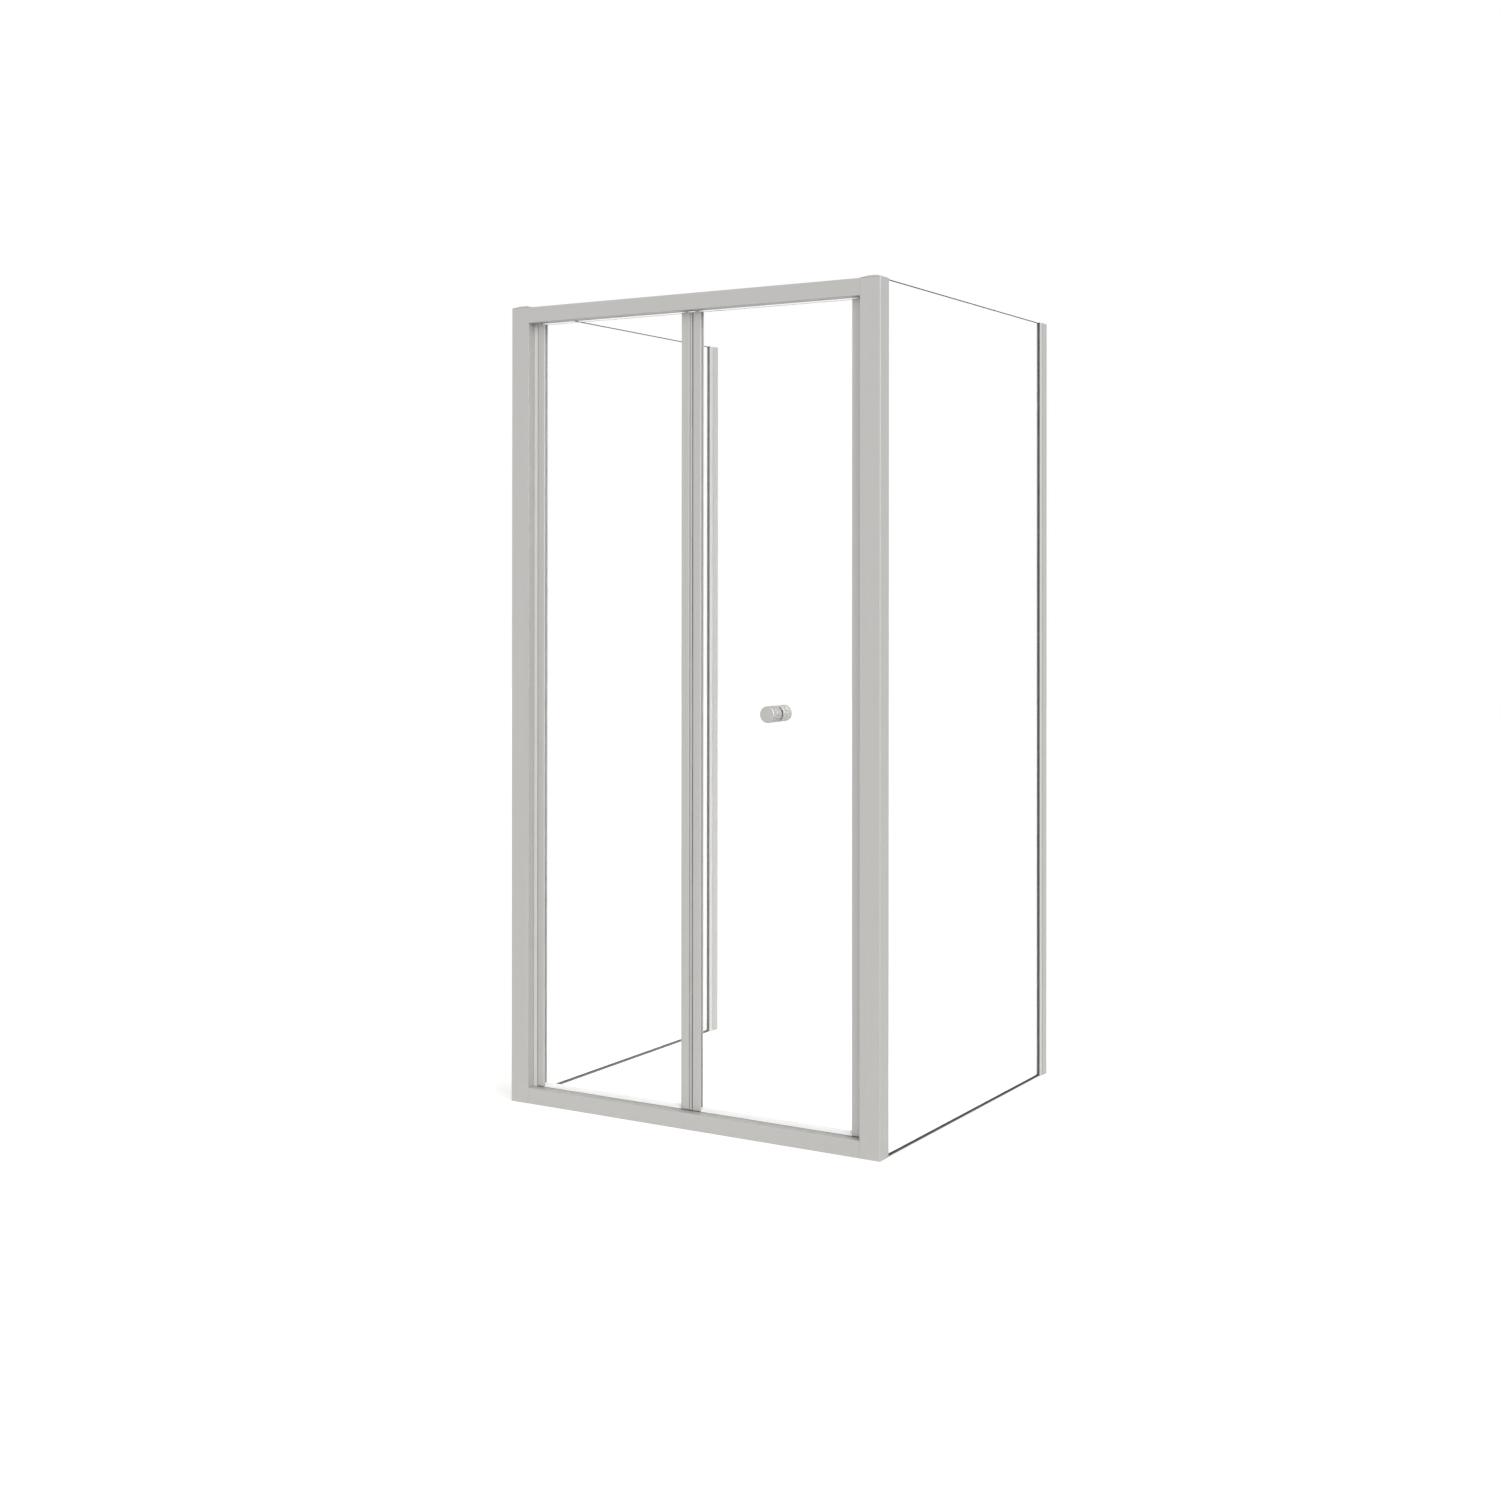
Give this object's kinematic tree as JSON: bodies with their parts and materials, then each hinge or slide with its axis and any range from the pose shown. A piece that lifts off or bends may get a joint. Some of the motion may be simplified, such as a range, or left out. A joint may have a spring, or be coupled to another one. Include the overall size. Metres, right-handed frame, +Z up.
{
  "type": "shower enclosure",
  "caption": "Shower enclosure with clear side panels and an inward-folding bi-fold glass door between satin aluminium corner posts, opened with a round knob.",
  "frame": {"origin": "middle of the floor under the whole object, knob included", "axes": "+Z up, +X along the door from its pivot side to its closing side, +Y from the door into the shower and to the wall"},
  "size_m": [0.9934, 0.928, 1.902],
  "materials": {
    "satin_aluminium": "satin anodised, pale warm grey",
    "steel": "stainless, machined",
    "clear_glass": "clear toughened safety glass",
    "clear_vinyl": "clear flexible vinyl",
    "dark_rubber": "matt dark rubber",
    "pale_vinyl": "pale grey vinyl, matt",
    "grey_polymer": "mid-grey moulded nylon"
  },
  "bodies": {
    "frame": {"bottom_pivot_block": "grey_polymer", "bottom_pivot_block_screw": "steel", "bottom_rail": "satin_aluminium", "left_bottom_corner_screw": "steel", "left_bottom_seal": "dark_rubber", "left_corner_post": "satin_aluminium", "left_glass_profile": "satin_aluminium", "left_post_cap": "satin_aluminium", "left_post_gasket": "pale_vinyl", "left_side_glass": "clear_glass", "left_top_corner_screw": "steel", "left_wall_channel": "satin_aluminium", "left_wall_gasket": "dark_rubber", "pivot_jamb": "pale_vinyl", "right_bottom_corner_screw": "steel", "right_bottom_seal": "dark_rubber", "right_corner_post": "satin_aluminium", "right_glass_profile": "satin_aluminium", "right_post_cap": "satin_aluminium", "right_post_gasket": "pale_vinyl", "right_side_glass": "clear_glass", "right_top_corner_screw": "steel", "right_wall_channel": "satin_aluminium", "right_wall_gasket": "dark_rubber", "strike_jamb": "satin_aluminium", "strike_magnet": "grey_polymer", "top_pivot_block": "grey_polymer", "top_pivot_block_screw": "steel", "top_rail": "satin_aluminium"},
    "leaf_a": {"leaf_a_bottom_stile_cap": "grey_polymer", "leaf_a_drip_seal": "clear_vinyl", "leaf_a_end_gasket": "pale_vinyl", "leaf_a_glass": "clear_glass", "leaf_a_hinge_gasket": "pale_vinyl", "leaf_a_hinge_stile": "satin_aluminium", "leaf_a_hinge_strip": "grey_polymer", "leaf_a_pivot_stile": "satin_aluminium", "leaf_a_top_stile_cap": "grey_polymer", "top_pivot_pin": "steel", "bottom_pivot_pin": "steel", "hinge_rod": "steel", "centre_seal": "grey_polymer"},
    "leaf_b": {"leaf_b_bottom_stile_cap": "grey_polymer", "leaf_b_closing_stile": "satin_aluminium", "leaf_b_drip_seal": "clear_vinyl", "leaf_b_end_gasket": "pale_vinyl", "leaf_b_glass": "clear_glass", "leaf_b_hinge_gasket": "pale_vinyl", "leaf_b_hinge_stile": "satin_aluminium", "leaf_b_hinge_strip": "grey_polymer", "leaf_b_top_stile_cap": "grey_polymer", "top_guide_pin": "steel", "bottom_guide_pin": "steel", "closing_magnet": "grey_polymer", "outer_knob": "satin_aluminium", "inner_knob": "satin_aluminium", "outer_knob_washer": "dark_rubber", "inner_knob_washer": "dark_rubber"},
    "top_roller": {"top_guide_roller": "grey_polymer"},
    "bottom_roller": {"bottom_guide_roller": "grey_polymer"}
  },
  "joints": [
    {"name": "leaf_a_swing", "type": "hinge", "parent": "frame", "child": "leaf_a", "pos_m": [-0.429, -0.422, 0.948], "axis": [0, 0, 1], "range_deg": [0, 80]},
    {"name": "leaf_b_fold", "type": "hinge", "parent": "leaf_a", "child": "leaf_b", "pos_m": [0, -0.4291, 0.948], "axis": [0, 0, 1], "range_deg": [-160, 0]},
    {"name": "top_roller_spin", "type": "hinge", "parent": "leaf_b", "child": "top_roller", "pos_m": [0.429, -0.422, 1.867], "axis": [0, 0, 1], "continuous": true},
    {"name": "bottom_roller_spin", "type": "hinge", "parent": "leaf_b", "child": "bottom_roller", "pos_m": [0.429, -0.422, 0.029], "axis": [0, 0, 1], "continuous": true}
  ],
  "couplings": [
    {"joint": "leaf_b_fold", "follows": "leaf_a_swing", "ratio": -2}
  ]
}
